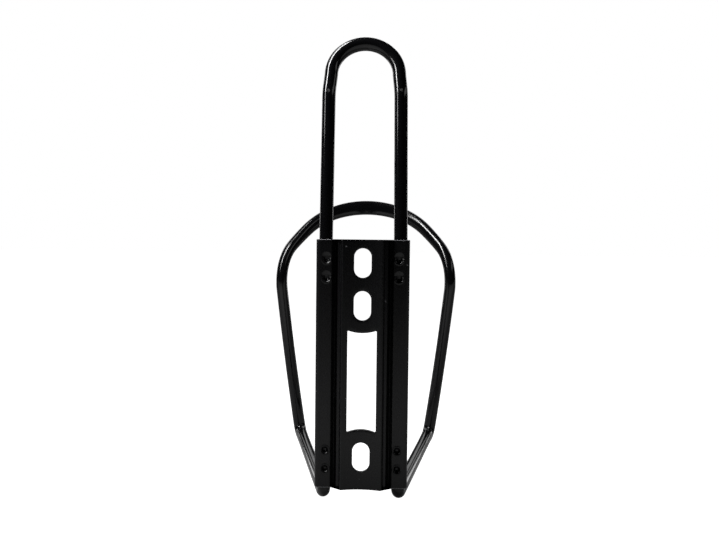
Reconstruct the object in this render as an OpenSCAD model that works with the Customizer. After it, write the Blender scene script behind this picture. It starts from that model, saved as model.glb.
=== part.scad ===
// Bottle cage: an extruded aluminium stay that bolts to the frame, with two bent rods staked into it.
// +Z runs up along the bottle, +Y points from the bike's tube to the bottle, +X is to the right.
// The origin is the middle of the bolt slots one boss spacing apart, on the face that meets the tube.

/* [Bottle] */
// Diameter of the bottle that the cage holds
bottle_d = 73; // [58:0.5:90]
// Room all round between the bottle and what holds it
bottle_gap = 0.5; // [0:0.1:2]

/* [Rods] */
// Diameter of the round rod that both loops are bent from
rod_d = 4.5; // [3.6:0.1:5.4]
// Gap all round between a rod and its channel
rod_fit = 0.05; // [0.02:0.01:0.12]

/* [Stay] */
// Distance between the bosses on the bike's tube
boss_pitch = 64; // [52:1:80]
// Distance from the top slot down to the extra slot
extra_drop = 14; // [12:0.5:22]
// Length of the stay above its top slot
stay_above = 7.7; // [6:0.1:12]
// Length of the stay below its bottom slot
stay_below = 10.8; // [8:0.1:16]
// Distance between the centres of the two channels
channel_c = 24.8; // [22:0.1:30]
// Distance from the tube face back to the centres of the channels
channel_back = 4.66; // [4:0.1:6]
// Wall of each channel
channel_wall = 0.75; // [0.6:0.05:1.2]
// Radius at the outer front corners of each channel
channel_corner = 1.5; // [1:0.1:1.8]
// Thickness of the web that carries the slots
web_t = 1.3; // [1:0.1:2]
// Radius of the hollow that beds on the bike's tube
saddle_r = 20; // [15:0.5:40]
// Distance between the two ridges that edge the hollow
ridge_c = 13.6; // [12:0.1:16]
// Thickness of the flanks that run back from the ridges
flank_t = 1.1; // [0.8:0.1:1.6]
// How far each flank leans outward on its way back
flank_lean = 1.7; // [0.6:0.1:1.8]
// Height of the open mouth along each channel, in front of its floor
mouth_t = 0.75; // [0.4:0.05:1.2]

/* [Slots and window] */
// Width of a bolt slot
slot_w = 5.7; // [5.2:0.1:6.5]
// Length of a bolt slot from end to end
slot_l = 9.7; // [8:0.1:11]
// Width of the window between the slots
window_w = 9.6; // [6:0.1:11]
// Bar of web left between the extra slot and the window
window_top_bar = 4.1; // [3:0.1:8]
// Bar of web left between the window and the lowest slot
window_foot_bar = 4.3; // [3:0.1:8]
// How far the window's ends bulge into it at the middle
window_bulge = 0.9; // [0.3:0.1:1.5]
// Radius in the corners of the window
window_corner = 0.6; // [0.4:0.1:1.2]

/* [Stakes] */
// Distance from the stay's end to the first punch mark of a rod
stake_first = 6.4; // [5:0.1:8]
// Distance between the two punch marks on a rod
stake_pitch = 6.2; // [4.5:0.1:8]
// How far the punch marks lie inboard of the rod's centre
stake_inset = 0.45; // [0:0.05:0.7]
// Diameter of a punch mark at the surface
stake_d = 2.8; // [2:0.1:3]
// Depth of a punch mark
stake_deep = 0.9; // [0.6:0.05:1]
// Length of rod held beyond its second punch mark
rod_hold = 5.5; // [3:0.5:10]

/* [Upper loop] */
// Height of the upper loop above the stay
loop_h = 67.7; // [45:0.5:90]
// Height of the lip at the top, which leans toward the bottle
lip_h = 19.2; // [15.5:0.1:26]
// Lean of the lip
lip_lean = 15; // [5:1:25]
// Distance between the rod centres where the lip starts
lip_c = 23.8; // [22.6:0.1:28]
// Distance between the rod centres where the top bend starts
top_c = 22.6; // [18:0.1:25]

/* [Wrap loop] */
// Height of the wrap loop's front above the tube face's origin, at the rod's centre
wrap_top = 53.7; // [40:0.5:70]
// Height of the lower corners of the wrap loop, at the rod's centre
wrap_foot = -41.5; // [-60:0.1:-30]
// Distance out from the middle of the front to a lower corner, round the bottle
corner_run = 30; // [24:0.1:36]
// Lean of the side rods away from the middle, as they rise
side_lean = 10.8; // [6:0.5:16]
// Slope of the front where the arch meets the straight stretch
arch_slope = 40; // [30:1:48]
// Radius of the arch over the front
arch_r = 42.5; // [36:0.5:52]
// Length of the straight stretch between the arch and a shoulder
arch_straight = 10.2; // [4:0.1:16]
// Radius of the lower corners
corner_r = 3.6; // [3:0.1:6]
// Radius of the bend under each channel
foot_r = 2.6; // [2.5:0.1:5]
// Height of the flattened rod at the middle of the front
flat_h = 6; // [5:0.1:7]
// Distance from the middle of the front over which the rod turns round again
flat_run = 48; // [30:1:60]

/* [Hidden] */
finish_black = [0.09, 0.09, 0.10];
stay_black = [0.16, 0.16, 0.17];
over = 0.5;             // how far a cutter runs past what it cuts
sides = 12;             // flats round a bent rod
mark_fit = 0.05;        // gap between a stake's nub and its dent
nub_wall = 0.4;         // metal left under a punch mark
seam = 0.02;            // how far a bent tube lies under the round rod that it joins
tip_share = 0.5;        // a punch mark's diameter at its bottom, as a share of that at the surface
leg_bend = 3;           // bend radius of the legs under the lip, in rod diameters
leg_steps = 3;          // rings in that bend, less one
bow_steps = 20;         // rings round the top bend
arch_steps = 10;        // rings along half of the arch
straight_steps = 3;     // spaces along the straight stretch beside the arch
shoulder_steps = 10;    // rings round a shoulder, less one
side_steps = 9;         // rings along a side rod
corner_steps = 6;       // rings round a lower corner or a foot bend, less one
corner_lead = 1;        // straight left between a side rod's last ring and its lower corner

rod_r = rod_d / 2;
// Metal left on the inside of the tightest bend, so that a thick rod never folds into itself.
bend_spare = 0.35;
foot_bend = max(foot_r, rod_r + bend_spare);
bent_r = rod_r - seam;
bore_r = rod_r + rod_fit;
channel_x = channel_c / 2;
channel_r = bore_r + channel_wall;
stay_top = boss_pitch / 2 + stay_above;
stay_foot = -boss_pitch / 2 - stay_below;
slot_z = [boss_pitch / 2, boss_pitch / 2 - extra_drop, -boss_pitch / 2];
ridge_x = ridge_c / 2;
ridge_y = sqrt(saddle_r * saddle_r - ridge_x * ridge_x) - saddle_r;
lip_inner_y = channel_back - bore_r;
floor_y = lip_inner_y + mouth_t;
window_top = slot_z[1] - slot_l / 2 - window_top_bar;
window_foot = slot_z[2] + slot_l / 2 + window_foot_bar;
stake_x = channel_x - stake_inset;
stake_top = [stay_top - stake_first, stay_top - stake_first - stake_pitch];
stake_foot = [stay_foot + stake_first + stake_pitch, stay_foot + stake_first];

bottle_y = channel_back + sqrt(pow(bottle_d / 2 + bottle_gap + channel_r, 2) - pow(channel_x, 2));
wrap_r = bottle_d / 2 + bottle_gap + rod_r;

// ---- Stay ----

// Outline of one channel: round at the back, flat at the front with rounded corners.
module channel_outline() {
    inner = channel_r - channel_corner;
    translate([channel_x, channel_back]) {
        circle(r = channel_r, $fn = 64);
        for (side = [-1, 1]) translate([side * inner, -inner]) circle(r = channel_corner, $fn = 48);
        translate([-inner, -channel_r]) square([2 * inner, channel_r]);
        translate([-channel_r, -inner]) square([2 * channel_r, inner]);
    }
}

// Half of the stay's cross-section, on the +X side.
module half_section() {
    foot_x = ridge_x + flank_lean;
    difference() {
        union() {
            intersection() {
                translate([0, -saddle_r]) difference() {
                    circle(r = saddle_r + web_t, $fn = 180);
                    circle(r = saddle_r, $fn = 180);
                }
                translate([0, ridge_y]) square([ridge_x, web_t - ridge_y + over]);
            }
            polygon([
                [ridge_x, ridge_y],
                [foot_x, floor_y],
                [foot_x, floor_y + web_t],
                [foot_x - flank_t, floor_y + web_t],
                [ridge_x - flank_t, 0],
            ]);
            translate([foot_x - flank_t, floor_y]) square([channel_x - foot_x + flank_t, web_t]);
            channel_outline();
        }
        translate([channel_x, channel_back]) circle(r = bore_r, $fn = 64);
        mouth_cut();
    }
}

// The groove in front of the floor, and the mouth that opens from it into the channel.
module mouth_cut() {
    lip_x = channel_x - bore_r;
    groove_x = ridge_x + flank_lean;
    translate([groove_x, ridge_y]) square([lip_x - groove_x, floor_y - ridge_y]);
    translate([groove_x, lip_inner_y]) square([channel_x - groove_x, mouth_t]);
}

// A slot through the web, its length along Z.
module slot_cut(z) {
    half = (slot_l - slot_w) / 2;
    deep = web_t + 2 * over;
    translate([0, -over, z]) rotate([-90, 0, 0]) {
        for (end = [-1, 1]) translate([0, end * half, 0]) cylinder(d = slot_w, h = deep, $fn = 48);
        translate([-slot_w / 2, -half, 0]) cube([slot_w, 2 * half, deep]);
    }
}

// The window: a rounded rectangle less a shallow arc at each end.
module window_cut() {
    half_w = window_w / 2;
    end_r = (half_w * half_w + window_bulge * window_bulge) / (2 * window_bulge);
    top = window_top + window_bulge;
    foot = window_foot - window_bulge;
    deep = web_t - ridge_y + 2 * over;
    corner = window_corner;
    translate([0, web_t + over, 0]) rotate([90, 0, 0]) linear_extrude(deep) difference() {
        union() {
            for (side = [-1, 1], z = [foot + corner, top - corner])
                translate([side * (half_w - corner), z]) circle(r = corner, $fn = 32);
            translate([-half_w, foot + corner]) square([window_w, top - foot - 2 * corner]);
            translate([-half_w + corner, foot]) square([window_w - 2 * corner, top - foot]);
        }
        translate([0, window_top + end_r]) circle(r = end_r, $fn = 96);
        translate([0, window_foot - end_r]) circle(r = end_r, $fn = 96);
    }
}

// A cone that narrows from the channel's front face toward the bottle, grown all round by grow.
module punch_cone(grow) {
    mouth = stake_d / 2;
    rotate([-90, 0, 0])
        cylinder(r1 = mouth + grow, r2 = mouth * tip_share + grow, h = stake_deep + grow, $fn = 32);
}

// Places its child at both channels, at each height in the list.
module at_stakes(heights) {
    for (side = [-1, 1], z = heights) translate([side * stake_x, channel_back - channel_r, z]) children();
}

// The extruded stay: web, flanks, grooves and channels, with the punch marks pressed in.
module stay() {
    color(stay_black) difference() {
        union() {
            difference() {
                translate([0, 0, stay_foot]) linear_extrude(stay_top - stay_foot) {
                    half_section();
                    mirror([1, 0]) half_section();
                }
                for (z = slot_z) slot_cut(z);
                window_cut();
            }
            at_stakes(concat(stake_top, stake_foot)) punch_cone(nub_wall);
        }
        at_stakes(concat(stake_top, stake_foot)) translate([0, -over, 0]) {
            rotate([-90, 0, 0]) cylinder(d = stake_d, h = over, $fn = 32);
            translate([0, over, 0]) punch_cone(0);
        }
        // Each nub is trimmed flush with the front face of its channel.
        for (side = [-1, 1])
            translate([side * channel_x - channel_r, channel_back - channel_r - 2 * over, stay_foot])
                cube([channel_r * 2, 2 * over, stay_top - stay_foot]);
    }
}

// ---- Rods ----

function unit(v) = v / norm(v);

// Points along a bend of radius r at the corner v, between the ways d1 in and d2 out.
function bend(v, d1, d2, r, steps) =
    let (turn = acos(d1 * d2), run = r * tan(turn / 2), start = v - d1 * run)
    let (out = unit(d2 - d1 * (d1 * d2)))
    [for (i = [0 : steps]) let (a = turn * i / steps) start + d1 * r * sin(a) + out * r * (1 - cos(a))];

// Direction of the path at point i.
function heading(path, i) = unit(path[min(i + 1, len(path) - 1)] - path[max(i - 1, 0)]);

// One ring of points round p: wide is the half-size along the side vector, high the half-size across it.
function ring(p, way, side, wide, high) =
    let (u = unit(side - way * (side * way)), w = cross(way, u))
    [for (k = [0 : sides - 1]) let (a = 360 * k / sides) p + u * wide * cos(a) + w * high * sin(a)];

// A solid through the rings, closed at both ends.
module tube(rings) {
    n = len(rings);
    points = [for (one = rings) each one];
    walls = [for (i = [0 : n - 2], k = [0 : sides - 1])
        let (here = i * sides, there = here + sides, next = (k + 1) % sides)
        [here + k, there + k, there + next, here + next]];
    first = [for (k = [0 : sides - 1]) k];
    last = [for (k = [sides - 1 : -1 : 0]) (n - 1) * sides + k];
    polyhedron(points, concat(walls, [first, last]), convexity = 8);
}

// The straight ends of a loop, held in both channels from z_low to z_high, with dents for the stakes.
module held_ends(z_low, z_high, heights) {
    difference() {
        for (side = [-1, 1]) translate([side * channel_x, channel_back, z_low])
            cylinder(d = rod_d, h = z_high - z_low, $fn = 64);
        at_stakes(heights) punch_cone(nub_wall + mark_fit);
    }
}

// ---- Upper loop ----

lip_z = stay_top + loop_h - lip_h;
top_r = top_c / 2;
lip_up = [0, sin(lip_lean), cos(lip_lean)];
lip_run = (lip_h - rod_r) / cos(lip_lean);
lip_mid = [0, channel_back, lip_z] + lip_up * (lip_run - top_r);

leg_start = [channel_x, channel_back, stay_top];
leg_end = [lip_c / 2, channel_back, lip_z];
lip_start = [top_r, 0, 0] + lip_mid;
leg_way = unit(leg_end - leg_start);
lip_way = unit(lip_start - leg_end);

function flip(points) = [for (p = points) [-p[0], p[1], p[2]]];
function back_to_front(points) = [for (i = [len(points) - 1 : -1 : 0]) points[i]];

upper_half = concat([leg_start - [0, 0, over], leg_start + leg_way * rod_d],
                    bend(leg_end, leg_way, lip_way, leg_bend * rod_d, leg_steps),
                    [for (i = [0 : bow_steps / 2 - 1]) let (a = 180 * i / bow_steps)
                        lip_mid + [top_r * cos(a), 0, 0] + lip_up * top_r * sin(a)]);
upper_path = concat(upper_half, [lip_mid + lip_up * top_r], back_to_front(flip(upper_half)));

// The upper loop: two legs up from the channels, and a round top on a lip that leans to the bottle.
module upper_loop() {
    color(finish_black) {
        held_ends(stake_top[1] - rod_hold, stay_top, stake_top);
        tube([for (i = [0 : len(upper_path) - 1])
            ring(upper_path[i], heading(upper_path, i), [0, 1, 0], bent_r, bent_r)]);
    }
}

// ---- Wrap loop ----

// A point of the flat pattern, run along and z up, rolled round the bottle's axis.
function rolled(p) =
    let (a = p[0] / wrap_r * 180 / PI)
    [wrap_r * sin(a), bottle_y + wrap_r * cos(a), p[1]];

// Flat pattern of one half: the arch, the straight stretch, the shoulder and the side.
arch_end = [arch_r * sin(arch_slope), wrap_top - arch_r * (1 - cos(arch_slope))];
shoulder_start = arch_end + arch_straight * [cos(arch_slope), -sin(arch_slope)];
side_way = [-sin(side_lean), -cos(side_lean)];
side_turn = 90 + side_lean;
// The shoulder's radius brings the side down to the lower corner.
start_gap = (shoulder_start[0] - corner_run) * side_way[1] - (shoulder_start[1] - wrap_foot) * side_way[0];
gap_per_r = (sin(side_turn) - sin(arch_slope)) * side_way[1]
    + (cos(arch_slope) - cos(side_turn)) * side_way[0];
shoulder_r = -start_gap / gap_per_r;

// Where the shoulder has come to once its path slopes down by angle a.
function shoulder_at(a) =
    shoulder_start + shoulder_r * [sin(a) - sin(arch_slope), cos(a) - cos(arch_slope)];
shoulder_end = shoulder_at(side_turn);
side_l = norm(shoulder_end - [corner_run, wrap_foot]);
corner_way = unit(rolled([corner_run, wrap_foot]) - rolled([corner_run, wrap_foot] - side_way));
corner = rolled([corner_run, wrap_foot]);
foot = [channel_x, channel_back, stay_foot - foot_bend];
foot_way = unit(foot - corner);
corner_gap = corner_r * tan(acos(corner_way * foot_way) / 2) + corner_lead;

arch_flat = [for (i = [1 : arch_steps]) let (a = arch_slope * i / arch_steps)
    [arch_r * sin(a), wrap_top - arch_r * (1 - cos(a))]];
straight_flat = [for (i = [1 : straight_steps - 1])
    arch_end + (shoulder_start - arch_end) * i / straight_steps];
shoulder_flat = [for (i = [0 : shoulder_steps])
    shoulder_at(arch_slope + (side_turn - arch_slope) * i / shoulder_steps)];
side_flat = [for (i = [1 : side_steps]) shoulder_end + side_way * (side_l - corner_gap) * i / side_steps];
half_flat = concat(arch_flat, straight_flat, shoulder_flat, side_flat);

wrap_half = concat([for (p = half_flat) rolled(p)],
                   bend(corner, corner_way, foot_way, corner_r, corner_steps),
                   bend(foot, foot_way, [0, 0, 1], foot_bend, corner_steps),
                   [[channel_x, channel_back, stay_foot + over]]);
wrap_path = concat(back_to_front(flip(wrap_half)), [rolled([0, wrap_top])], wrap_half);

// Outward side of the rod at p, away from the bottle's axis, or straight outboard under the bottle.
function outward(p) = [p[0], max(0, p[1] - bottle_y), 0];

// How flat the rod is pressed at p, from 1 at the middle of the front to 0 where it is round.
function pressed(p) =
    p[1] < bottle_y ? 0 :
    let (run = atan2(abs(p[0]), p[1] - bottle_y) * PI / 180 * wrap_r)
    run > flat_run ? 0 : (1 + cos(180 * run / flat_run)) / 2;

// A ring that keeps the rod's area as it is pressed flat.
function wrap_ring(i) =
    let (p = wrap_path[i], high = bent_r + (flat_h / 2 - bent_r) * pressed(p))
    ring(p, heading(wrap_path, i), outward(p), bent_r * bent_r / high, high);

// The wrap loop: out under the bottle, up both sides and over the front, flattened where it crosses.
module wrap_loop() {
    color(finish_black) {
        held_ends(stay_foot, stake_foot[0] + rod_hold, stake_foot);
        tube([for (i = [0 : len(wrap_path) - 1]) wrap_ring(i)]);
    }
}

stay();
upper_loop();
wrap_loop();
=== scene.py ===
import logging
import math
from collections.abc import Callable
from dataclasses import dataclass, field
from enum import Enum

import bmesh
import bpy
from mathutils import Matrix, Vector
from mathutils.geometry import delaunay_2d_cdt


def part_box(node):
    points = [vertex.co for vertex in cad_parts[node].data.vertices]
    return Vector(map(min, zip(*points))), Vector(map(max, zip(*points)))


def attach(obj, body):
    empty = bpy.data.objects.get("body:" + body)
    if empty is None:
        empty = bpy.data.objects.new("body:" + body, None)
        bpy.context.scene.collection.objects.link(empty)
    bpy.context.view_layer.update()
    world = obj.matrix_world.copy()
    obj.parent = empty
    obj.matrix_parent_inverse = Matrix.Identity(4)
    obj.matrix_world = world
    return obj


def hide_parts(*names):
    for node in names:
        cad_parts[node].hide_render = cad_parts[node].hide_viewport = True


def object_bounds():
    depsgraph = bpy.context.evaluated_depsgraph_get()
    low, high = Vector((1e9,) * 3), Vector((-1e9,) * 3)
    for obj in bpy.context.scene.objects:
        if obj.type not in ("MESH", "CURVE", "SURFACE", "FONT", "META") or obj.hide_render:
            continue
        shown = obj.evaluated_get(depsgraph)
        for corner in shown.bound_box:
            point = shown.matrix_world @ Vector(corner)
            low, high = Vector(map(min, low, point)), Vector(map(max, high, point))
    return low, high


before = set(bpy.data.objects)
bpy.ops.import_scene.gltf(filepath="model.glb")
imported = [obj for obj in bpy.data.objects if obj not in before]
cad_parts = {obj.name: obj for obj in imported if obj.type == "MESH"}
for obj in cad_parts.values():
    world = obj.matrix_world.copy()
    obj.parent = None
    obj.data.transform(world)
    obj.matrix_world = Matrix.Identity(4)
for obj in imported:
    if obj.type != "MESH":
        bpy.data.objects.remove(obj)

CAD_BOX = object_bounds()
MM = 0.001
BODY = "root"
log = logging.getLogger("bottle_cage")

Point2 = tuple[float, float]
Corner = tuple[float, float, float]
Place = tuple[float, float, float]

# Sealed anodising mirrors like a clear dielectric skin over the dye.
SEALED_SKIN_IOR = 1.5
# One pattern cell in four holds a speck.
SPECK_PICK = 0.74
# A scuff's ragged edge: grain in mm, how far it wanders, where it starts and ends, and how pale it is.
SCUFF_GRAIN_MM = 0.5
SCUFF_WANDER = 1.6
SCUFF_EDGE = (0.1, 0.35)
SCUFF_PALE = 0.6
# Rounding errors in mm are smaller than this.
SLACK = 0.01
# Points nearer than this, in mm, are welded.
WELD = 0.002
# Smallest edge of an outline, in mm, and the slack in cutting a face to its outlines.
SAME_POINT = 1e-4
CUT_SLACK = 1e-6


# ---- Nodes and colours ----


def linear(hex_colour: str) -> tuple[float, float, float, float]:
    """Turns an sRGB hex colour into linear RGBA.

    Args:
        hex_colour: Six hex digits with a leading #.

    Returns:
        Linear red, green, blue and an alpha of 1.
    """
    parts = [int(hex_colour[i:i + 2], 16) / 255 for i in (1, 3, 5)]
    rgb = [p / 12.92 if p <= 0.04045 else ((p + 0.055) / 1.055) ** 2.4 for p in parts]
    return (*rgb, 1.0)


def add_node(tree: bpy.types.NodeTree, kind: str, settings: dict | None = None, **inputs) -> bpy.types.Node:
    """Adds a node, sets its properties and fills or links its inputs.

    Args:
        tree: The node tree to add to.
        kind: The node's type name.
        settings: Properties to set on the node.
        **inputs: Values or output sockets by input name, with _ for a space, or i0, i1... by number.

    Returns:
        The new node.
    """
    node = tree.nodes.new(kind)
    for name, value in (settings or {}).items():
        setattr(node, name, value)
    for name, value in inputs.items():
        by_number = name[0] == "i" and name[1:].isdigit()
        socket = node.inputs[int(name[1:]) if by_number else name.replace("_", " ")]
        if isinstance(value, bpy.types.NodeSocket):
            tree.links.new(value, socket)
        else:
            socket.default_value = value
    return node


def new_material(name: str) -> tuple[bpy.types.Material, bpy.types.NodeTree]:
    """Makes an empty node material and returns it with its tree."""
    material = bpy.data.materials.new(name)
    material.use_nodes = True
    material.node_tree.nodes.clear()
    return material, material.node_tree


def pattern_scale(size_mm: float) -> float:
    """Scale of a pattern in object space, in metres, whose features repeat about every size_mm."""
    return 1.0 / (size_mm * MM)


# ---- Finishes ----


@dataclass(frozen=True)
class BlackAnodised:
    """Aluminium dyed black and sealed: a near-black body under a clear skin that mirrors the lamps.

    Attributes:
        name: The material's name.
        dye: Colour of the dyed metal.
        pale_tone: Colour of the specks, the scuffs and chips, and the paler bands at the stay's ends.
        shine: Strength of the skin's mirroring.
        roughness: Least and most roughness.
        grain_mm: Size of the surface's grain.
        grain_strength: How strongly the grain shows.
        grain_deep_mm: Depth of the grain.
        speck_spacing_mm: Size of the cells that may hold a speck each.
        speck_size: Radius of a speck as a share of its cell.
        marks: Middles of the scuffs or chips, in mm.
        mark_mm: Radius of each.
    """

    name: str
    dye: str
    pale_tone: str
    shine: float
    roughness: tuple[float, float]
    grain_mm: float
    grain_strength: float
    speck_spacing_mm: float
    speck_size: float
    mark_mm: float
    marks: tuple[Place, ...] = ()
    grain_deep_mm: float = 0.02

    def dress(self, tree: bpy.types.NodeTree, place: bpy.types.NodeSocket, grain: bpy.types.NodeSocket,
              gloss: bpy.types.NodeSocket, pale: bpy.types.NodeSocket) -> None:
        """Joins the finish's patterns in one shader.

        Args:
            tree: The material's tree.
            place: Object coordinates in metres.
            grain: Height of the grain, 0 to 1.
            gloss: Roughness over the surface.
            pale: 1 where the pale colour shows, before the marks are added.
        """
        for mark in self.marks:
            pale = add_node(tree, "ShaderNodeMath", {"operation": "MAXIMUM"}, i0=pale,
                            i1=mark_mask(tree, place, mark, self.mark_mm)).outputs[0]
        colour = add_node(tree, "ShaderNodeMix", {"data_type": "RGBA"}, i0=pale, i6=linear(self.dye),
                          i7=linear(self.pale_tone))
        bump = add_node(tree, "ShaderNodeBump", Strength=self.grain_strength,
                        Distance=self.grain_deep_mm * MM, Height=grain)
        shader = add_node(tree, "ShaderNodeBsdfPrincipled", Base_Color=colour.outputs[2], Metallic=0.0,
                          Roughness=gloss, IOR=SEALED_SKIN_IOR, Normal=bump.outputs[0])
        shader.inputs["Specular IOR Level"].default_value = self.shine
        add_node(tree, "ShaderNodeOutputMaterial", Surface=shader.outputs[0])


@dataclass(frozen=True)
class BlackAnodisedRod(BlackAnodised):
    """Drawn aluminium rod, bent and anodised: glossy, with long thin highlights and a faint draw grain."""

    name: str = "black_anodised_rod"
    dye: str = "#060607"
    pale_tone: str = "#4e4e4d"
    shine: float = 0.3
    roughness: tuple[float, float] = (0.11, 0.17)
    grain_mm: float = 0.45
    grain_strength: float = 0.12
    speck_spacing_mm: float = 5.0
    speck_size: float = 0.026
    mark_mm: float = 0.8
    cloud_mm: float = 9.0

    def material(self) -> bpy.types.Material:
        """Builds the rod's material.

        Returns:
            The finished material.
        """
        material, tree = new_material(self.name)
        place = add_node(tree, "ShaderNodeTexCoord").outputs["Object"]
        # The real draw grain is finer: it is drawn as coarse as it needs to break up the highlights.
        grain = add_node(tree, "ShaderNodeTexNoise", Vector=place, Scale=pattern_scale(self.grain_mm),
                         Detail=3.0, Roughness=0.6).outputs["Fac"]
        cloud = add_node(tree, "ShaderNodeTexNoise", Vector=place, Scale=pattern_scale(self.cloud_mm),
                         Detail=2.0).outputs["Fac"]
        gloss = add_node(tree, "ShaderNodeMapRange", Value=cloud, From_Min=0.3, From_Max=0.7,
                         To_Min=self.roughness[0], To_Max=self.roughness[1]).outputs[0]
        specks = speck_mask(tree, place, self.speck_spacing_mm, self.speck_size)
        self.dress(tree, place, grain, gloss, specks)
        return material


@dataclass(frozen=True)
class BlackAnodisedExtrusion(BlackAnodised):
    """Extruded aluminium, etched and anodised: satin, with die lines along it and paler bands at the
    channels' top and bottom ends.
    """

    name: str = "black_anodised_extrusion"
    dye: str = "#060607"
    pale_tone: str = "#77777a"
    shine: float = 0.22
    roughness: tuple[float, float] = (0.24, 0.34)
    grain_mm: float = 0.4
    grain_strength: float = 0.22
    speck_spacing_mm: float = 4.5
    speck_size: float = 0.04
    mark_mm: float = 0.45
    grain_share: float = 0.8
    die_line_mm: float = 0.35
    die_line_stretch: float = 0.006
    top_mm: float = 0.0
    foot_mm: float = 0.0
    end_band_mm: float = 0.35
    end_from_x_mm: float = 9.0
    end_pale: float = 0.8

    def material(self) -> bpy.types.Material:
        """Builds the stay's material.

        Returns:
            The finished material.
        """
        material, tree = new_material(self.name)
        place = add_node(tree, "ShaderNodeTexCoord").outputs["Object"]
        # Die lines run the whole length, so the pattern is stretched along Z.
        drawn = add_node(tree, "ShaderNodeMapping", {"vector_type": "POINT"}, Vector=place,
                         Scale=(1.0, 1.0, self.die_line_stretch)).outputs[0]
        lines = add_node(tree, "ShaderNodeTexNoise", Vector=drawn, Scale=pattern_scale(self.die_line_mm),
                         Detail=3.0, Roughness=0.7).outputs["Fac"]
        # The etch before the dye leaves a frosted grain that scatters the highlights, here drawn coarser.
        frost = add_node(tree, "ShaderNodeTexNoise", Vector=place, Scale=pattern_scale(self.grain_mm),
                         Detail=4.0, Roughness=0.7).outputs["Fac"]
        grain = add_node(tree, "ShaderNodeMix", {"data_type": "FLOAT"}, i0=self.grain_share, i2=lines,
                         i3=frost).outputs[0]
        gloss = add_node(tree, "ShaderNodeMapRange", Value=grain, From_Min=0.35, From_Max=0.65,
                         To_Min=self.roughness[0], To_Max=self.roughness[1]).outputs[0]
        specks = speck_mask(tree, place, self.speck_spacing_mm, self.speck_size)
        pale = add_node(tree, "ShaderNodeMath", {"operation": "MAXIMUM"}, i0=specks,
                        i1=self.end_band_mask(tree, place)).outputs[0]
        self.dress(tree, place, grain, gloss, pale)
        return material

    def end_band_mask(self, tree: bpy.types.NodeTree, place: bpy.types.NodeSocket) -> bpy.types.NodeSocket:
        """Makes the channels' top and bottom ends paler.

        Args:
            tree: The material's tree.
            place: Object coordinates in metres.

        Returns:
            A socket that is palest on the channels' end faces and 0 away from them.
        """
        parts = add_node(tree, "ShaderNodeSeparateXYZ", Vector=place)
        out = add_node(tree, "ShaderNodeMath", {"operation": "ABSOLUTE"}, i0=parts.outputs["X"])
        # Only the channels' ends are pale, beyond this distance from the middle.
        beside = add_node(tree, "ShaderNodeMath", {"operation": "GREATER_THAN"}, i0=out.outputs[0],
                          i1=self.end_from_x_mm * MM)
        top, foot = (add_node(tree, "ShaderNodeMapRange", Value=parts.outputs["Z"], From_Min=inner * MM,
                              From_Max=outer * MM, To_Min=0.0, To_Max=self.end_pale).outputs[0]
                     for inner, outer in ((self.top_mm - self.end_band_mm, self.top_mm),
                                          (self.foot_mm + self.end_band_mm, self.foot_mm)))
        ends = add_node(tree, "ShaderNodeMath", {"operation": "MAXIMUM"}, i0=top, i1=foot)
        return add_node(tree, "ShaderNodeMath", {"operation": "MULTIPLY"}, i0=ends.outputs[0],
                        i1=beside.outputs[0]).outputs[0]


@dataclass(frozen=True)
class WhiteSweep:
    """Matt white paper on a light table: even, pale, and bright enough to hold no hard shadow.

    Attributes:
        name: The material's name.
        paper: The paper's colour.
        glow: Brightness of the lit paper as it is seen.
        glow_front: Brightness that the object mirrors from in front of it.
        glow_behind: Brightness that the object mirrors from below and behind it.
        turn_mm: Depths between which the mirrored brightness changes.
    """

    name: str = "white_sweep"
    paper: str = "#8c8c8c"
    glow: float = 1.05
    glow_front: float = 0.49
    glow_behind: float = 0.09
    turn_mm: tuple[float, float] = (-70.0, -5.0)

    def material(self) -> bpy.types.Material:
        """Builds the floor's material.

        Returns:
            The finished material.
        """
        material, tree = new_material(self.name)
        seen = add_node(tree, "ShaderNodeLightPath").outputs["Is Camera Ray"]
        place = add_node(tree, "ShaderNodeTexCoord").outputs["Object"]
        depth = add_node(tree, "ShaderNodeSeparateXYZ", Vector=place).outputs["Y"]
        spill = add_node(tree, "ShaderNodeMapRange", Value=depth, From_Min=self.turn_mm[0] * MM,
                         From_Max=self.turn_mm[1] * MM, To_Min=self.glow_front, To_Max=self.glow_behind)
        glow = add_node(tree, "ShaderNodeMix", {"data_type": "FLOAT"}, i0=seen, i2=spill.outputs[0],
                        i3=self.glow)
        shader = add_node(tree, "ShaderNodeBsdfPrincipled", Base_Color=linear(self.paper), Roughness=0.9,
                          Emission_Color=linear("#ffffff"), Emission_Strength=glow.outputs[0])
        add_node(tree, "ShaderNodeOutputMaterial", Surface=shader.outputs[0])
        return material


def speck_mask(tree: bpy.types.NodeTree, place: bpy.types.NodeSocket, spacing_mm: float,
               size: float) -> bpy.types.NodeSocket:
    """Scatters a few dust specks and pinholes.

    Args:
        tree: The material's tree.
        place: Object coordinates in metres.
        spacing_mm: Size of the cells that may hold a speck each.
        size: Radius of a speck as a share of its cell.

    Returns:
        A socket that is above 0 only on the specks.
    """
    cells = add_node(tree, "ShaderNodeTexVoronoi", Vector=place, Scale=pattern_scale(spacing_mm))
    dot = add_node(tree, "ShaderNodeMapRange", Value=cells.outputs["Distance"], From_Min=size,
                   From_Max=size / 2, To_Min=0.0, To_Max=1.0)
    pick = add_node(tree, "ShaderNodeSeparateColor", Color=cells.outputs["Color"])
    chosen = add_node(tree, "ShaderNodeMath", {"operation": "GREATER_THAN"}, i0=pick.outputs[0],
                      i1=SPECK_PICK)
    return add_node(tree, "ShaderNodeMath", {"operation": "MULTIPLY"}, i0=dot.outputs[0],
                    i1=chosen.outputs[0]).outputs[0]


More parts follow.
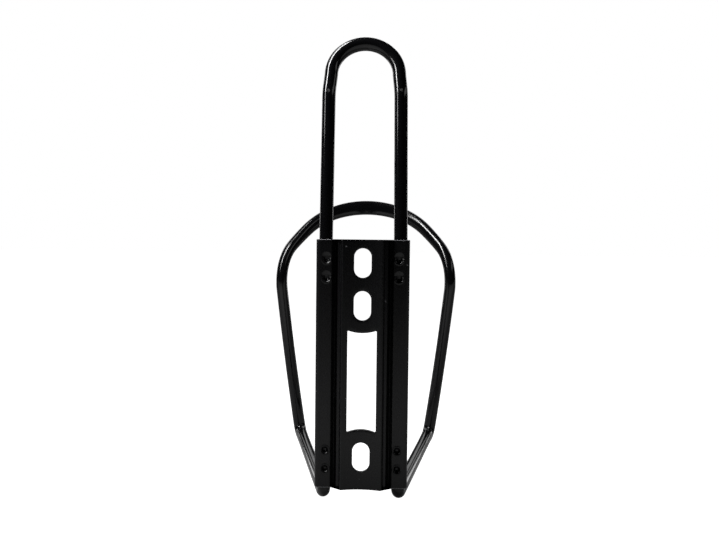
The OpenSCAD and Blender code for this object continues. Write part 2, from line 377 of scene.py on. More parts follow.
def mark_mask(tree: bpy.types.NodeTree, place: bpy.types.NodeSocket, centre_mm: Place,
              size_mm: float) -> bpy.types.NodeSocket:
    """Marks one scuffed spot with a ragged edge.

    Args:
        tree: The material's tree.
        place: Object coordinates in metres.
        centre_mm: Middle of the scuff.
        size_mm: Radius of the scuff.

    Returns:
        A socket that fades from the scuff's paleness to 0 outside it.
    """
    centre = tuple(v * MM for v in centre_mm)
    away = add_node(tree, "ShaderNodeVectorMath", {"operation": "DISTANCE"}, i0=place, i1=centre)
    ragged = add_node(tree, "ShaderNodeTexNoise", Vector=place, Scale=pattern_scale(SCUFF_GRAIN_MM),
                      Detail=3.0)
    wander = add_node(tree, "ShaderNodeMath", {"operation": "MULTIPLY_ADD"}, i0=ragged.outputs["Fac"],
                      i1=-SCUFF_WANDER * size_mm * MM, i2=away.outputs["Value"])
    outer, inner = (-edge * size_mm * MM for edge in SCUFF_EDGE)
    return add_node(tree, "ShaderNodeMapRange", Value=wander.outputs[0], From_Min=outer, From_Max=inner,
                    To_Min=0.0, To_Max=SCUFF_PALE).outputs[0]


# ---- Geometry helpers, all in millimetres ----


def arc(centre: Point2, radius: float, start: float, end: float, step_mm: float) -> list[Point2]:
    """Points along an arc, both ends included.

    Args:
        centre: Centre of the arc.
        radius: Its radius.
        start: First angle in degrees.
        end: Last angle in degrees.
        step_mm: Longest distance between two points.

    Returns:
        The points in order.
    """
    count = max(2, math.ceil(abs(math.radians(end - start)) * radius / step_mm))
    angles = [math.radians(start + (end - start) * i / count) for i in range(count + 1)]
    return [(centre[0] + radius * math.cos(a), centre[1] + radius * math.sin(a)) for a in angles]


def spread(start: float, end: float, step_mm: float) -> list[float]:
    """Evenly spaced values from start to end, no further apart than step_mm."""
    count = max(1, math.ceil(abs(end - start) / step_mm))
    return [start + (end - start) * i / count for i in range(count + 1)]


def rounded(corners: list[Corner], closed: bool, steps: int = 4) -> list[Point2]:
    """Rounds each corner that has a radius.

    Args:
        corners: Points with the radius of each.
        closed: True if the last point joins the first.
        steps: Segments in each rounded corner.

    Returns:
        The outline's points.
    """
    out: list[Point2] = []
    count = len(corners)
    for i, (x, y, radius) in enumerate(corners):
        ends = i in (0, count - 1) and not closed
        if radius == 0 or ends:
            out.append((x, y))
            continue
        here = Vector((x, y))
        before = (Vector(corners[i - 1][:2]) - here).normalized()
        after = (Vector(corners[(i + 1) % count][:2]) - here).normalized()
        half = before.angle(after) / 2
        run = radius / math.tan(half)
        middle = here + (before + after).normalized() * radius / math.sin(half)
        first = (here + before * run) - middle
        turn = first.angle_signed((here + after * run) - middle)
        for k in range(steps + 1):
            spoke = first.copy()
            spoke.rotate(Matrix.Rotation(-turn * k / steps, 2))
            out.append(tuple(middle + spoke))
    return out


def inward(points: list[Point2]) -> list[Vector]:
    """Unit normals that point into a closed outline which runs anticlockwise."""
    out = []
    for i, here in enumerate(points):
        before, after = Vector(points[i - 1]), Vector(points[(i + 1) % len(points)])
        along = after - before
        out.append(Vector((-along.y, along.x)).normalized())
    return out


def bend(corner: Vector, way_in: Vector, way_out: Vector, radius: float, steps: int) -> list[Vector]:
    """Points round a bend.

    Args:
        corner: Where the two straight runs would cross.
        way_in: Unit direction before the bend.
        way_out: Unit direction after it.
        radius: Bend radius at the rod's centre.
        steps: Number of segments.

    Returns:
        The points in order, both tangent points included.
    """
    turn = way_in.angle(way_out)
    start = corner - way_in * radius * math.tan(turn / 2)
    side = (way_out - way_in * way_in.dot(way_out)).normalized()
    angles = [turn * i / steps for i in range(steps + 1)]
    return [start + way_in * radius * math.sin(a) + side * radius * (1 - math.cos(a)) for a in angles]


def straight(start: Vector, end: Vector, step_mm: float) -> list[Vector]:
    """Points between two places, neither end included."""
    return [start.lerp(end, t) for t in spread(0.0, 1.0, step_mm / (end - start).length)[1:-1]]


def standing(place: Vector, right: Vector, up: Vector, back: Vector) -> Matrix:
    """Matrix of a lamp or camera at a place, from its three unit axes."""
    return Matrix.Translation(place) @ Matrix((right, up, back)).transposed().to_4x4()


def flipped(points: list[Vector]) -> list[Vector]:
    """The points mirrored across the YZ plane, in reverse order."""
    return [Vector((-p.x, p.y, p.z)) for p in reversed(points)]


def split_long(outline: list[Point2], longest: float) -> list[Point2]:
    """Adds points along the long edges of a closed outline."""
    out: list[Point2] = []
    for i, here in enumerate(outline):
        there = outline[(i + 1) % len(outline)]
        if math.dist(here, there) < SAME_POINT:
            continue
        for t in spread(0.0, 1.0, longest / math.dist(here, there))[:-1]:
            out.append((here[0] + (there[0] - here[0]) * t, here[1] + (there[1] - here[1]) * t))
    return out


def grown(outline: list[Point2], by: float) -> list[Point2]:
    """A closed anticlockwise outline moved outward."""
    return [tuple(Vector(p) - n * by) for p, n in zip(outline, inward(outline))]


def apart(place: Point2, outline: list[Point2]) -> float:
    """Distance from a place to an outline, or 0 inside it."""
    inside, nearest = False, math.inf
    for i, (x0, z0) in enumerate(outline):
        x1, z1 = outline[i - 1]
        nearest = min(nearest, math.hypot(place[0] - x0, place[1] - z0))
        if (z0 > place[1]) != (z1 > place[1]) and place[0] < x0 + (x1 - x0) * (place[1] - z0) / (z1 - z0):
            inside = not inside
    return 0.0 if inside else nearest


def skin(mesh: bmesh.types.BMesh, rings: list[list], closed: bool) -> None:
    """Joins rows of points with faces.

    Args:
        mesh: Mesh to add to.
        rings: Rows of points, all of the same length.
        closed: True if each row's last point joins its first.
    """
    rows = [[mesh.verts.new(p) for p in ring] for ring in rings]
    count = len(rows[0])
    for low, high in zip(rows, rows[1:]):
        for i in range(count if closed else count - 1):
            j = (i + 1) % count
            mesh.faces.new((low[i], low[j], high[j], high[i]))


def make_piece(name: str, mesh: bmesh.types.BMesh, material: bpy.types.Material,
               node: str) -> bpy.types.Object:
    """Turns a mesh in millimetres into a piece that stands for a CAD node.

    Args:
        name: Name of the piece.
        mesh: Its mesh, which is freed.
        material: Its material.
        node: The CAD node that it stands for.

    Returns:
        The new object.
    """
    bmesh.ops.recalc_face_normals(mesh, faces=mesh.faces)
    # Normals weighted by area keep the flats flat right up to their small rounded edges.
    shading = []
    for vert in mesh.verts:
        shading.append(sum((f.normal * f.calc_area() for f in vert.link_faces), Vector()).normalized())
    bmesh.ops.scale(mesh, vec=(MM, MM, MM), verts=mesh.verts)
    data = bpy.data.meshes.new(name)
    mesh.to_mesh(data)
    mesh.free()
    data.shade_smooth()
    data.normals_split_custom_set_from_vertices(shading)
    data.materials.append(material)
    piece = bpy.data.objects.new(name, data)
    bpy.context.scene.collection.objects.link(piece)
    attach(piece, BODY)
    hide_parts(node)
    log.info("%s: %d vertices, %d faces", name, len(data.vertices), len(data.polygons))
    return piece


# ---- Stakes ----


@dataclass(frozen=True)
class Stake:
    """One punch mark that pins a rod in its channel, pressed toward the bottle.

    Attributes:
        x: Its centre across the stay, in mm.
        z: Its height, in mm.
        mouth_r: Radius at the surface.
        tip_r: Radius at the bottom.
        deep: Depth.
        rim: Height of the metal raised round the mouth.
        rim_w: How far the raised metal reaches.
        dish: How far the cone's wall bows.
        skirt: Clear metal that the fine mesh takes in round the mouth.
        heel_skirt: The same above the hollow.
        heel: Depth of the shallow hollow above the mouth, where the punch came in at a slant.
        heel_r: Radius of that hollow.
        heel_up: How far it lies above the mouth's centre.
    """

    x: float
    z: float
    mouth_r: float = 1.35
    tip_r: float = 0.35
    deep: float = 0.9
    rim: float = 0.06
    rim_w: float = 0.3
    dish: float = 0.09
    skirt: float = 0.6
    heel_skirt: float = 0.35
    heel: float = 0.0
    heel_r: float = 1.55
    heel_up: float = 0.85

    @property
    def reach(self) -> float:
        """How far above and below its centre the punch moved the metal."""
        return max(self.mouth_r + self.skirt, self.heel_up + self.heel_r + self.heel_skirt)

    def push(self, x: float, z: float, grow: float = 0.0) -> float:
        """How far the punch pushed the metal in at a place.

        Args:
            x: Place across the stay.
            z: Height of the place.
            grow: Metal between this surface and the punch.

        Returns:
            Distance toward the bottle, below 0 on the raised rim.
        """
        away = math.hypot(x - self.x, z - self.z) - grow
        above = math.hypot(x - self.x, z - self.z - self.heel_up) - grow
        hollow = self.heel * max(0.0, 1 - (above / self.heel_r) ** 2)
        if away >= self.mouth_r:
            past = (away - self.mouth_r) / self.rim_w
            raised = 0.0 if grow else self.rim * math.exp(-past * past) * min(1.0, past * 2)
            return hollow if hollow > 0 else -raised
        share = min(1.0, (self.mouth_r - away) / (self.mouth_r - self.tip_r))
        return max(hollow, self.deep * (share - self.dish * math.sin(2 * math.pi * share)))


# ---- The stay ----


@dataclass
class Stay:
    """The extruded stay: a hollow web that beds on the bike's tube, flanks, grooves and two open channels.

    Attributes:
        top: Height of its top end, in mm.
        foot: Height of its bottom end.
        stakes: The punch marks on the +X side.
    """

    top: float
    foot: float
    stakes: list[Stake]
    channel_x: float = 12.4
    channel_y: float = 4.66
    channel_r: float = 3.05
    bore_r: float = 2.3
    corner_r: float = 1.5
    web_t: float = 1.3
    saddle_r: float = 20.0
    ridge_x: float = 6.8
    flank_lean: float = 1.7
    flank_t: float = 1.1
    ridge_r: float = 0.45
    mouth_t: float = 0.75
    ledge_in: float = 0.55
    ledge_out: float = 1.45
    ledge_y: float = 1.75
    gap_side: float = 2.9
    gap_floor: float = 4.05
    gap_r: float = 0.15
    draft: float = 0.1
    slot_w: float = 5.7
    slot_l: float = 9.7
    slot_z: tuple[float, ...] = (32.0, 18.0, -32.0)
    window_w: float = 9.6
    window_top: float = 9.05
    window_foot: float = -22.85
    window_bulge: float = 0.9
    window_corner: float = 0.6
    strip_x: float = 5.6
    flank_r: float = 0.25
    ledge_r: float = 0.2
    lip_r: float = 0.15
    back_r: float = 0.4
    web_r: float = 0.3
    edge: float = 0.13
    coarse: float = 1.3
    fine: float = 0.15
    bore_step: float = 0.25
    round_step: float = 0.2
    back_step: float = 0.3
    wall_step: float = 0.8
    slot_step: float = 0.35
    bulge_step: float = 0.6
    clear: float = 0.5
    stagger: float = 0.4
    row_share: float = 0.85
    under_grow: float = 0.25
    nub_side: float = 0.45

    def front_y(self, x: float) -> float:
        """Depth of the web's front face at x."""
        return math.sqrt(self.saddle_r ** 2 - x * x) - self.saddle_r

    def back_y(self, x: float) -> float:
        """Depth of the web's back face at x."""
        return math.sqrt((self.saddle_r + self.web_t) ** 2 - x * x) - self.saddle_r

    def half_profile(self) -> list[Point2]:
        """Outline of the +X side, from the front of the web round the channel to the web's back.

        Returns:
            Points that run anticlockwise seen from above.
        """
        ridge_y = self.front_y(self.ridge_x)
        lip_y = self.channel_y - self.bore_r
        floor_y = lip_y + self.mouth_t
        face_y = self.channel_y - self.channel_r
        foot_x = self.ridge_x + self.flank_lean
        inner = self.channel_r - self.corner_r
        left, right = self.channel_x - inner, self.channel_x + inner
        low = self.channel_y - inner
        lip_x = self.channel_x - self.bore_r
        bore_edge = math.degrees(math.asin((self.channel_y - floor_y) / self.bore_r))
        lip_start = -math.degrees(math.acos((lip_x - left) / self.corner_r))
        centre = (self.channel_x, self.channel_y)
        back_x = foot_x - self.flank_t
        web_x = self.ridge_x - self.flank_t
        wall_y = floor_y + self.web_t
        join_x = self.strip_x - self.clear

        # Down the flank to its ledge, then a steep V that stays dark, up to the channel's open side.
        ledge_x = self.ridge_x + self.ledge_out
        flank = rounded([
            (self.strip_x, self.front_y(self.strip_x), 0.0), (self.ridge_x, ridge_y, self.ridge_r),
            (self.ridge_x + self.ledge_in, self.ledge_y - self.draft, self.flank_r),
            (ledge_x, self.ledge_y, self.ledge_r), (ledge_x + self.draft, self.gap_side, 0.0),
            ((ledge_x + lip_x) / 2, self.gap_floor, self.gap_r),
            (self.channel_x - self.bore_r * math.cos(math.radians(bore_edge)), floor_y, 0.0),
        ], closed=False)
        bore = arc(centre, self.bore_r, 180 + bore_edge, -90, self.bore_step)
        reach = self.stakes[0].mouth_r + self.stakes[0].skirt
        under_x = reversed(spread(self.stakes[0].x - reach, self.channel_x, self.fine))
        under = [(x, lip_y) for x in under_x if x > lip_x + 2 * self.lip_r]
        round_y = low - self.corner_r * math.sin(math.acos((lip_x - left) / self.corner_r))
        lip = rounded([(*under[-1], 0.0), (lip_x, lip_y, self.lip_r), (lip_x, round_y, 0.0)], closed=False)
        round_in = arc((left, low), self.corner_r, lip_start, -90, self.fine)
        face = [(x, face_y) for x in spread(left, right, self.fine)]
        round_out = arc((right, low), self.corner_r, -90, 0, self.round_step)
        back = arc(centre, self.channel_r, 0, 180, self.back_step)
        web = rounded([
            (*back[-1], 0.0), (self.channel_x - self.channel_r, wall_y, self.lip_r),
            (back_x, wall_y, self.back_r), (web_x, self.back_y(web_x), self.web_r),
            (join_x, self.back_y(join_x), 0.0),
        ], closed=False)
        channel = bore[1:] + under[1:] + lip[1:-1] + round_in + face[1:] + round_out[1:] + back
        return flank + channel + web[1:]

    def heights(self) -> list[float]:
        """Heights of the rings, close together at the stakes."""
        marks = {round(self.foot + self.edge, 4), round(self.top - self.edge, 4)}
        for stake in self.stakes:
            reach = stake.reach
            marks.update(round(z, 4) for z in spread(stake.z - reach, stake.z + reach, self.fine))
        known = sorted(marks)
        out = [known[0]]
        for z in known[1:]:
            out.extend(spread(out[-1], z, self.coarse)[1:])
        return out

    def pressed(self, x: float, y: float, z: float) -> float:
        """Depth of a point once the stakes are punched."""
        face_y, bore_y = self.channel_y - self.channel_r, self.channel_y - self.bore_r
        if not face_y - SLACK < y < bore_y + self.nub_side:
            return y
        grow = self.under_grow if y >= bore_y - SLACK else 0.0
        return y + sum(s.push(abs(x), z, grow) for s in self.stakes if abs(z - s.z) < s.reach)

    def openings(self) -> list[list[Point2]]:
        """Outlines of the slots and the window, as (x, z) points that run anticlockwise."""
        out = []
        half = (self.slot_l - self.slot_w) / 2
        for z in self.slot_z:
            ends = arc((0, z + half), self.slot_w / 2, 0, 180, self.slot_step)
            ends += arc((0, z - half), self.slot_w / 2, 180, 360, self.slot_step)
            out.append(split_long(ends, self.wall_step))
        bulge_r = ((self.window_w / 2) ** 2 + self.window_bulge ** 2) / (2 * self.window_bulge)
        swing = math.degrees(math.asin(self.window_w / 2 / bulge_r))
        top = arc((0, self.window_top + bulge_r), bulge_r, -90 + swing, -90 - swing, self.bulge_step)
        foot = arc((0, self.window_foot - bulge_r), bulge_r, 90 + swing, 90 - swing, self.bulge_step)
        corners = [(x, z, 0.0) for x, z in top + foot]
        for i in (0, len(top) - 1, len(top), len(corners) - 1):
            corners[i] = (*corners[i][:2], self.window_corner / 2)
        out.append(split_long(rounded(corners, closed=True), self.wall_step))
        return out

    def face(self, mesh: bmesh.types.BMesh, heights: list[float], half_w: float, holes: list[list[Point2]],
             depth: Callable[[float], float]) -> None:
        """Builds the web's front or back face round its openings.

        Args:
            mesh: Mesh to add to.
            heights: Heights of the rings that the face meets at its sides.
            half_w: Half of the face's width.
            holes: Outlines of the openings.
            depth: Function that gives the depth at x.
        """
        low, high = heights[0], heights[-1]
        across = spread(-half_w, half_w, self.coarse)
        border = [(x, low) for x in across] + [(half_w, z) for z in heights[1:-1]]
        border += [(x, high) for x in reversed(across)] + [(-half_w, z) for z in reversed(heights[1:-1])]
        points, edges = list(border), [(i, (i + 1) % len(border)) for i in range(len(border))]
        for hole in holes:
            first = len(points)
            points += hole
            edges += [(first + i, first + (i + 1) % len(hole)) for i in range(len(hole))]
        for row, z in enumerate(spread(low, high, self.coarse * self.row_share)[1:-1]):
            for x in across[1:-1]:
                place = (x + (row % 2 - 0.5) * self.stagger * self.coarse, z)
                inside = abs(place[0]) < half_w - self.clear
                if inside and all(apart(place, hole) > self.clear for hole in holes):
                    points.append(place)
        places, _, triangles, *_ = delaunay_2d_cdt([Vector(p) for p in points], edges, [], 1, CUT_SLACK)
        verts = [mesh.verts.new((p.x, depth(p.x), p.y)) for p in places]
        for triangle in triangles:
            middle = sum((places[i] for i in triangle), Vector((0, 0))) / 3
            if all(apart(middle, hole) > 0 for hole in holes):
                mesh.faces.new([verts[i] for i in triangle])

    def hole_wall(self, mesh: bmesh.types.BMesh, outline: list[Point2]) -> None:
        """Builds the wall of one opening, with a small chamfer at both faces.

        Args:
            mesh: Mesh to add to.
            outline: The opening's outline between the chamfers.
        """
        wide = grown(outline, self.edge)
        rings = [
            [(x, self.front_y(x), z) for x, z in wide],
            [(x, self.front_y(x) + self.edge, z) for x, z in outline],
            [(x, self.back_y(x) - self.edge, z) for x, z in outline],
            [(x, self.back_y(x), z) for x, z in wide],
        ]
        skin(mesh, rings, closed=True)

    def build(self, material: bpy.types.Material) -> bpy.types.Object:
        """Builds the stay.

        Args:
            material: Its finish.

        Returns:
            The finished piece.
        """
        mesh = bmesh.new()
        heights = self.heights()
        half = self.half_profile()
        for side in (1, -1):
            rings = [[(side * x, self.pressed(x, y, z), z) for x, y in half] for z in heights]
            skin(mesh, rings, closed=False)
        holes = self.openings()
        wide = [grown(hole, self.edge) for hole in holes]
        self.face(mesh, heights, half[0][0], wide, self.front_y)
        self.face(mesh, heights, half[-1][0], wide, self.back_y)
        for hole in holes:
            self.hole_wall(mesh, hole)
        front = [(x, self.front_y(x)) for x in spread(-half[0][0], half[0][0], self.coarse)]
        back = [(x, self.back_y(x)) for x in spread(half[-1][0], -half[-1][0], self.coarse)]
        outline = front + half[1:] + back[1:] + [(-x, y) for x, y in reversed(half)][1:-1]
        inset = [Vector(p) + n * self.edge for p, n in zip(outline, inward(outline))]
        for z, step in ((heights[0], -1), (heights[-1], 1)):
            end = [(p.x, p.y, z + step * self.edge) for p in inset]
            skin(mesh, [[(x, y, z) for x, y in outline], end], closed=True)
            cap = mesh.faces.new([mesh.verts.new(p) for p in end])
            bmesh.ops.triangulate(mesh, faces=[cap])
        bmesh.ops.remove_doubles(mesh, verts=mesh.verts, dist=WELD)
        return make_piece("stay_extrusion", mesh, material, "stay")


# ---- The rods ----


@dataclass
class Rod:
    """A bent round rod whose two ends are held in the stay's channels.

    Attributes:
        stakes: The punch marks on the +X side, which dent the rod.
        radius: Radius where the rod is round.
        sides: Facets round it.
        seat: Gap between the rod and its channel.
    """

    stakes: list[Stake]
    radius: float = 2.25
    sides: int = 36
    channel_x: float = 12.4
    channel_y: float = 4.66
    end_chamfer: float = 0.4
    dent_side: float = 1.2
    dent_grow: float = 0.3
    seat: float = 0.05
    held_step: float = 0.3

    def path(self) -> list[Vector]:
        """Points along the rod's centre, from its left end to its right end."""
        raise NotImplementedError

    def reach(self, place: Vector, spoke: Vector) -> float:
        """Distance from the centre to the surface along a spoke."""
        return self.radius

    def dented(self, point: Vector) -> Vector:
        """Moves a point of the rod clear of the stakes' nubs."""
        if point.y > self.channel_y - self.dent_side:
            return point
        depth = sum(s.push(abs(point.x), point.z, self.dent_grow) for s in self.stakes
                    if abs(point.z - s.z) < s.reach)
        return point + Vector((0, max(0.0, depth - self.seat), 0)) if depth > SLACK else point

    def build(self, name: str, node: str, material: bpy.types.Material) -> bpy.types.Object:
        """Sweeps the rod along its path.

        Args:
            name: Name of the piece.
            node: The CAD node that it stands for.
            material: Its finish.

        Returns:
            The finished piece.
        """
        path = self.path()
        side = Vector((1, 0, 0))
        rings = []
        for i, place in enumerate(path):
            way = (path[min(i + 1, len(path) - 1)] - path[max(i - 1, 0)]).normalized()
            side = (side - way * side.dot(way)).normalized()
            across = way.cross(side)
            ring = []
            for k in range(self.sides):
                angle = 2 * math.pi * k / self.sides
                spoke = side * math.cos(angle) + across * math.sin(angle)
                ring.append(self.dented(place + spoke * self.reach(place, spoke)))
            rings.append(ring)
        for end, step in ((0, 1), (-1, -1)):
            middle = path[end]
            small = [middle + (p - middle) * (1 - self.end_chamfer / self.radius) for p in rings[end]]
            away = (path[end] - path[end + step]).normalized() * self.end_chamfer * 0.5
            cap = [p + away for p in small]
            rings = [cap] + rings if end == 0 else rings + [cap]
        mesh = bmesh.new()
        skin(mesh, rings, closed=True)
        bmesh.ops.holes_fill(mesh, edges=mesh.edges, sides=self.sides)
        return make_piece(name, mesh, material, node)


@dataclass
class UpperLoop(Rod):
    """Two legs up from the channels and a round top on a lip that leans to the bottle.

    Attributes:
        held_from: Height where the rod starts, inside the channel.
        stay_top: Height of the stay's top end.
        top: Height of the very top of the loop.
    """

    held_from: float = 21.5
    stay_top: float = 39.6
    top: float = 107.3
    lip_h: float = 19.2
    lip_lean: float = 15.0
    lip_c: float = 23.8
    top_c: float = 22.6
    leg_bend_r: float = 13.5
    leg_step: float = 1.2
    bow_step: float = 0.05
    bend_steps: int = 8

    def path(self) -> list[Vector]:
        """Points along the centre, from the left end over the top to the right end."""
        lean = math.radians(self.lip_lean)
        lip_up = Vector((0, math.sin(lean), math.cos(lean)))
        lip_z = self.top - self.lip_h
        top_r = self.top_c / 2
        rise = (self.lip_h - self.radius) / math.cos(lean) - top_r
        middle = Vector((0, self.channel_y, lip_z)) + lip_up * rise
        foot = Vector((self.channel_x, self.channel_y, self.held_from))
        leg_start = Vector((self.channel_x, self.channel_y, self.stay_top))
        leg_end = Vector((self.lip_c / 2, self.channel_y, lip_z))
        lip_start = middle + Vector((top_r, 0, 0))
        leg_way = (leg_end - leg_start).normalized()
        turn = bend(leg_end, leg_way, (lip_start - leg_end).normalized(), self.leg_bend_r, self.bend_steps)
        half = [foot] + straight(foot, leg_start, self.held_step) + [leg_start]
        half += straight(leg_start, turn[0], self.leg_step) + turn
        half += straight(turn[-1], lip_start, self.leg_step)
        bow = [middle + Vector((top_r * x, 0, 0)) + lip_up * top_r * z
               for x, z in arc((0, 0), 1.0, 0, 180, self.bow_step)]
        return [Vector((-p.x, p.y, p.z)) for p in half] + bow[::-1] + half[::-1]


@dataclass
class WrapLoop(Rod):
    """Out under the bottle, up both sides and over the front, pressed flat where it crosses.

    Attributes:
        held_to: Height where the rod ends, inside the channel.
        stay_foot: Height of the stay's bottom end.
        axis_y: Depth of the bottle's axis.
        wrap_r: Distance from that axis to the rod's centre.
    """

    held_to: float = -24.4
    stay_foot: float = -42.5
    axis_y: float = 42.74
    wrap_r: float = 39.25
    wrap_top: float = 53.7
    wrap_foot: float = -41.5
    corner_run: float = 30.0
    side_lean: float = 10.8
    arch_slope: float = 40.0
    arch_r: float = 42.5
    arch_straight: float = 10.2
    corner_r: float = 3.6
    foot_r: float = 2.6
    flat_h: float = 6.0
    flat_run: float = 48.0
    flatness: float = 1.1
    fold_pitch: float = 0.9
    fold_deep: float = 0.1
    fold_reach: float = 5.0
    fold_side: Place = (-0.55, -0.35, 0.75)
    arch_step: float = 0.8
    shoulder_step: float = 0.6
    arch_share: float = 0.1
    side_share: float = 0.02
    corner_lead: float = 0.3
    corner_steps: int = 26
    foot_steps: int = 14

    def rolled(self, run: float, z: float) -> Vector:
        """A point of the flat pattern, rolled round the bottle's axis."""
        angle = run / self.wrap_r
        return Vector((self.wrap_r * math.sin(angle), self.axis_y + self.wrap_r * math.cos(angle), z))

    def flat_half(self) -> list[Point2]:
        """Flat pattern of one half: the arch, the straight stretch and the shoulder.

        Returns:
            Points as run round the bottle and height.
        """
        slope, side = math.radians(self.arch_slope), math.radians(90 + self.side_lean)
        arch = arc((0, self.wrap_top - self.arch_r), self.arch_r, 90, 90 - self.arch_slope, self.arch_step)
        end = Vector(arch[-1])
        start = end + Vector((math.cos(slope), -math.sin(slope))) * self.arch_straight
        way = Vector((math.cos(side), -math.sin(side)))
        gap = (start.x - self.corner_run) * way.y - (start.y - self.wrap_foot) * way.x
        gain = (math.sin(side) - math.sin(slope)) * way.y + (math.cos(slope) - math.cos(side)) * way.x
        radius = -gap / gain
        centre = (start.x - radius * math.sin(slope), start.y - radius * math.cos(slope))
        shoulder = arc(centre, radius, 90 - self.arch_slope, -self.side_lean, self.shoulder_step)
        middle = [tuple(end.lerp(start, t)) for t in spread(0.0, 1.0, self.arch_share)[1:-1]]
        return arch + middle + shoulder

    def path(self) -> list[Vector]:
        """Points along the centre, from the left end round the bottle to the right end."""
        flat = self.flat_half()
        lowest = Vector((self.corner_run, self.wrap_foot))
        corner = self.rolled(*lowest)
        way = (lowest - Vector(flat[-1])).normalized()
        down = (corner - self.rolled(*(lowest - way * self.arch_share))).normalized()
        foot = Vector((self.channel_x, self.channel_y, self.stay_foot - self.foot_r))
        under = (foot - corner).normalized()
        turn = bend(corner, down, under, self.corner_r, self.corner_steps)
        back_up = bend(foot, under, Vector((0, 0, 1)), self.foot_r, self.foot_steps)
        last = lowest - way * ((turn[0] - corner).length + self.corner_lead)
        side = [self.rolled(*Vector(flat[-1]).lerp(last, t)) for t in spread(0.0, 1.0, self.side_share)[1:]]
        held = Vector((self.channel_x, self.channel_y, self.held_to))
        half = [self.rolled(*p) for p in flat] + side + turn
        half += straight(turn[-1], back_up[0], self.arch_step) + back_up
        half += straight(back_up[-1], held, self.held_step) + [held]
        return flipped(half[1:]) + half

    def reach(self, place: Vector, spoke: Vector) -> float:
        """Distance from the centre to the surface along a spoke, flattened over the front.

        Args:
            place: The point on the centre.
            spoke: Unit vector from it to the surface.

        Returns:
            The distance in mm.
        """
        if place.y < self.axis_y:
            return self.radius + self.fold(place, spoke)
        run = abs(math.atan2(place.x, place.y - self.axis_y)) * self.wrap_r
        if run > self.flat_run:
            return self.radius
        share = (1 + math.cos(math.pi * run / self.flat_run)) / 2
        outward = Vector((place.x, place.y - self.axis_y, 0)).normalized()
        high = self.radius + (self.flat_h / 2 - self.radius) * share
        wide = self.radius ** 2 / high
        power = 2 + self.flatness * share
        out = min(1.0, abs(spoke.dot(outward)))
        along = math.sqrt(max(0.0, 1 - out * out))
        return ((out / wide) ** power + (along / high) ** power) ** (-1 / power)

    def fold(self, place: Vector, spoke: Vector) -> float:
        """Wrinkles on the inner side of a tight lower corner.

        Args:
            place: The point on the centre.
            spoke: Unit vector from it to the surface.

        Returns:
            Height of the wrinkle in mm.
        """
        corner = self.rolled(self.corner_run, self.wrap_foot)
        here = Vector((abs(place.x), place.y, place.z))
        away = (here - corner).length
        if away > self.fold_reach:
            return 0.0
        across, back, up = self.fold_side
        facing = max(0.0, spoke.dot(Vector((math.copysign(across, place.x), back, up)).normalized()))
        fade = (math.cos(math.pi * away / self.fold_reach) + 1) / 2
        wave = math.sin(2 * math.pi * (here.z - here.x) / self.fold_pitch)
        return self.fold_deep * facing ** 2 * fade * wave


# ---- Floor, light and camera ----


class Lamp(Enum):
    """The studio's soft strip lamps: both ends in mm, then the width in mm and the power in watts."""

    # Draws the long bright streak down the left shoulder and the top bend.
    SHOULDER = ((-175, -80, 147), (-58, -2, 284), 22, 1.0)
    # Puts a spark in each punch mark.
    SPARK = ((-205, -101, 111), (-175, -80, 147), 22, 0.08)
    # Carries the streak over the top bend.
    TOP = ((-162, -4, 223), (-74, 70, 275), 16, 0.13)
    # Lifts the right shoulder a little.
    RIGHT = ((420, -260, 250), (420, 100, 250), 80, 0.15)
    # The two rear strips line the rods for whoever looks from behind.
    REAR_LEFT = ((-320, 420, -20), (-320, 420, 330), 90, 0.35)
    REAR_RIGHT = ((320, 420, -20), (320, 420, 330), 90, 0.35)
    # Makes the bottom rods pale along their tops.
    SKY = ((-260, 480, 250), (260, 480, 250), 280, 0.5)
    # Rims the top bend from behind.
    REAR_TOP = ((-180, 470, 420), (180, 470, 420), 90, 0.4)


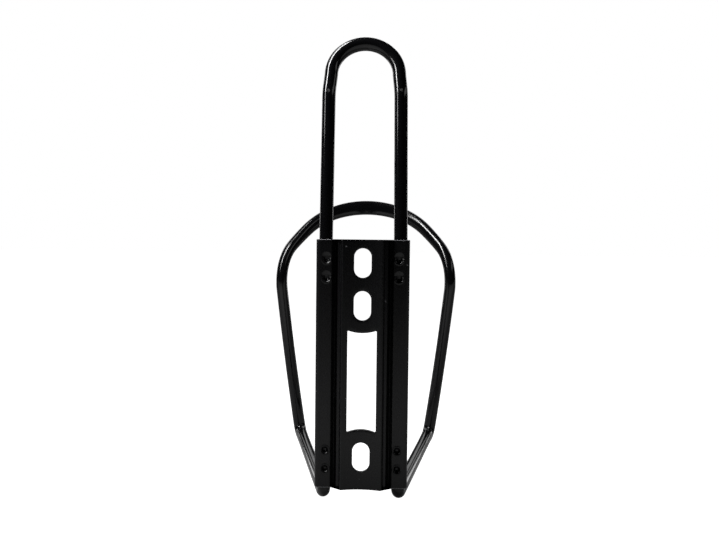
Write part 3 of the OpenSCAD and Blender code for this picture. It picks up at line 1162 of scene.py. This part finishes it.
@dataclass
class Studio:
    """The pale floor, the soft light and the camera.

    Attributes:
        floor_z: Height of the floor in metres.
        centre: What the lamps point at, in metres.
        half_width: Half of the floor's width.
        far: How far the floor runs behind the object.
        near: How far it runs in front.
        tile: Size of the floor's faces.
        room_mirrored: Brightness of the room that the object mirrors, in front and behind.
        room_turn: Depths, as shares of a unit direction, between which that brightness changes.
    """

    floor_z: float
    centre: Vector
    half_width: float = 3.0
    far: float = 5.0
    near: float = 0.45
    tile: float = 0.5
    room_mirrored: tuple[float, float] = (0.006, 0.02)
    room_turn: tuple[float, float] = (-0.2, 0.9)
    sensor: float = 36.0
    lens: float = 37.67
    eye: Vector = field(default_factory=lambda: Vector((0.0049, -0.2453, 0.0390)))
    yaw: float = -1.395
    pitch: float = 2.12
    roll: float = 0.64

    def floor(self, finish: WhiteSweep) -> bpy.types.Object:
        """Lays the floor, which ends a little way in front of the object.

        Args:
            finish: The floor's finish.

        Returns:
            The floor.
        """
        mesh = bmesh.new()
        xs = spread(-self.half_width, self.half_width, self.tile)
        ys = spread(-self.near, self.far, self.tile)
        skin(mesh, [[(x, y, self.floor_z) for x in xs] for y in ys], closed=False)
        data = bpy.data.meshes.new("floor")
        mesh.to_mesh(data)
        mesh.free()
        data.materials.append(finish.material())
        floor = bpy.data.objects.new("floor", data)
        bpy.context.scene.collection.objects.link(floor)
        return floor

    def lamps(self) -> None:
        """Hangs the strip lamps, out of sight, and points each at the object."""
        for lamp in Lamp:
            *ends, width, power = lamp.value
            start, end = (Vector(e) * MM for e in ends)
            middle = (start + end) / 2
            back = (middle - self.centre).normalized()
            along = (end - start).normalized()
            across = back.cross(along).normalized()
            along = across.cross(back)
            data = bpy.data.lights.new(lamp.name.lower(), "AREA")
            data.shape = "RECTANGLE"
            data.size = (end - start).length
            data.size_y = width * MM
            data.energy = power
            light = bpy.data.objects.new(lamp.name.lower(), data)
            light.matrix_world = standing(middle, along, across, back)
            light.visible_camera = False
            bpy.context.scene.collection.objects.link(light)

    def surroundings(self) -> None:
        """Makes the room: white where it is seen, and dim where the object mirrors it."""
        world = bpy.data.worlds.new("room")
        bpy.context.scene.world = world
        world.use_nodes = True
        tree = world.node_tree
        tree.nodes.clear()
        way = add_node(tree, "ShaderNodeTexCoord").outputs["Generated"]
        depth = add_node(tree, "ShaderNodeSeparateXYZ", Vector=way)
        rear = add_node(tree, "ShaderNodeMapRange", Value=depth.outputs["Y"],
                        From_Min=self.room_turn[0], From_Max=self.room_turn[1],
                        To_Min=self.room_mirrored[0], To_Max=self.room_mirrored[1])
        room = add_node(tree, "ShaderNodeBackground", Color=linear("#ffffff"), Strength=rear.outputs[0])
        seen = add_node(tree, "ShaderNodeBackground", Color=linear("#ffffff"), Strength=1.0)
        path = add_node(tree, "ShaderNodeLightPath")
        mix = add_node(tree, "ShaderNodeMixShader", i0=path.outputs["Is Camera Ray"], i1=room.outputs[0],
                       i2=seen.outputs[0])
        add_node(tree, "ShaderNodeOutputWorld", Surface=mix.outputs[0])

    def camera(self) -> bpy.types.Object:
        """Stands the camera in front, on the bike's side of the cage, at the height of its upper slot.

        Returns:
            The camera.
        """
        yaw, pitch, roll = (math.radians(a) for a in (self.yaw, self.pitch, self.roll))
        ahead = Vector((math.sin(yaw) * math.cos(pitch), math.cos(yaw) * math.cos(pitch), -math.sin(pitch)))
        level = Vector((math.cos(yaw), -math.sin(yaw), 0))
        upright = level.cross(ahead)
        right = level * math.cos(roll) + upright * math.sin(roll)
        up = upright * math.cos(roll) - level * math.sin(roll)
        data = bpy.data.cameras.new("camera")
        data.sensor_width = self.sensor
        data.lens = self.lens
        data.clip_start = 0.01
        data.clip_end = 20.0
        camera = bpy.data.objects.new("camera", data)
        camera.matrix_world = standing(self.eye, right, up, -ahead)
        bpy.context.scene.collection.objects.link(camera)
        bpy.context.scene.camera = camera
        return camera


# ---- Assembly ----


def main() -> None:
    """Builds the cage from the frame, then the studio."""
    logging.basicConfig(level=logging.INFO, format="%(name)s: %(message)s")
    stay_low, stay_high = (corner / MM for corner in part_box("stay"))
    upper_low, upper_high = (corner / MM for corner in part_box("upper_loop"))

    # The marks' places across the stay, in from its ends, and apart, in mm.
    stake_x, from_top, from_foot, pitch = 11.95, 6.6, 6.4, 6.2
    upper_stakes = [Stake(stake_x, stay_high.z - from_top - i * pitch, rim=0.16, heel=0.62) for i in (0, 1)]
    lower_stakes = [Stake(stake_x, stay_low.z + from_foot + i * pitch, mouth_r=1.3, rim=0.13) for i in (1, 0)]

    studio = Studio(floor_z=CAD_BOX[0][2], centre=Vector((0, 0.02, 0.02)))
    studio.camera()
    scuffs = ((-11.9, 2.6, 88.4), (12.0, 2.6, 88.7))
    chips = ((-5.4, -0.7, 37.4), (7.6, 1.7, 19.4), (14.6, 1.7, 31.5))
    rod_finish = BlackAnodisedRod(marks=scuffs).material()
    stay_finish = BlackAnodisedExtrusion(top_mm=stay_high.z, foot_mm=stay_low.z, marks=chips).material()

    Stay(top=stay_high.z, foot=stay_low.z, stakes=upper_stakes + lower_stakes).build(stay_finish)
    UpperLoop(stakes=upper_stakes, held_from=upper_low.z, stay_top=stay_high.z,
              top=upper_high.z).build("upper_rod", "upper_loop", rod_finish)
    WrapLoop(stakes=lower_stakes, stay_foot=stay_low.z).build("wrap_rod", "wrap_loop", rod_finish)

    studio.floor(WhiteSweep())
    studio.lamps()
    studio.surroundings()
    bpy.context.scene.view_settings.view_transform = "Standard"


if __name__ == "__main__":
    main()
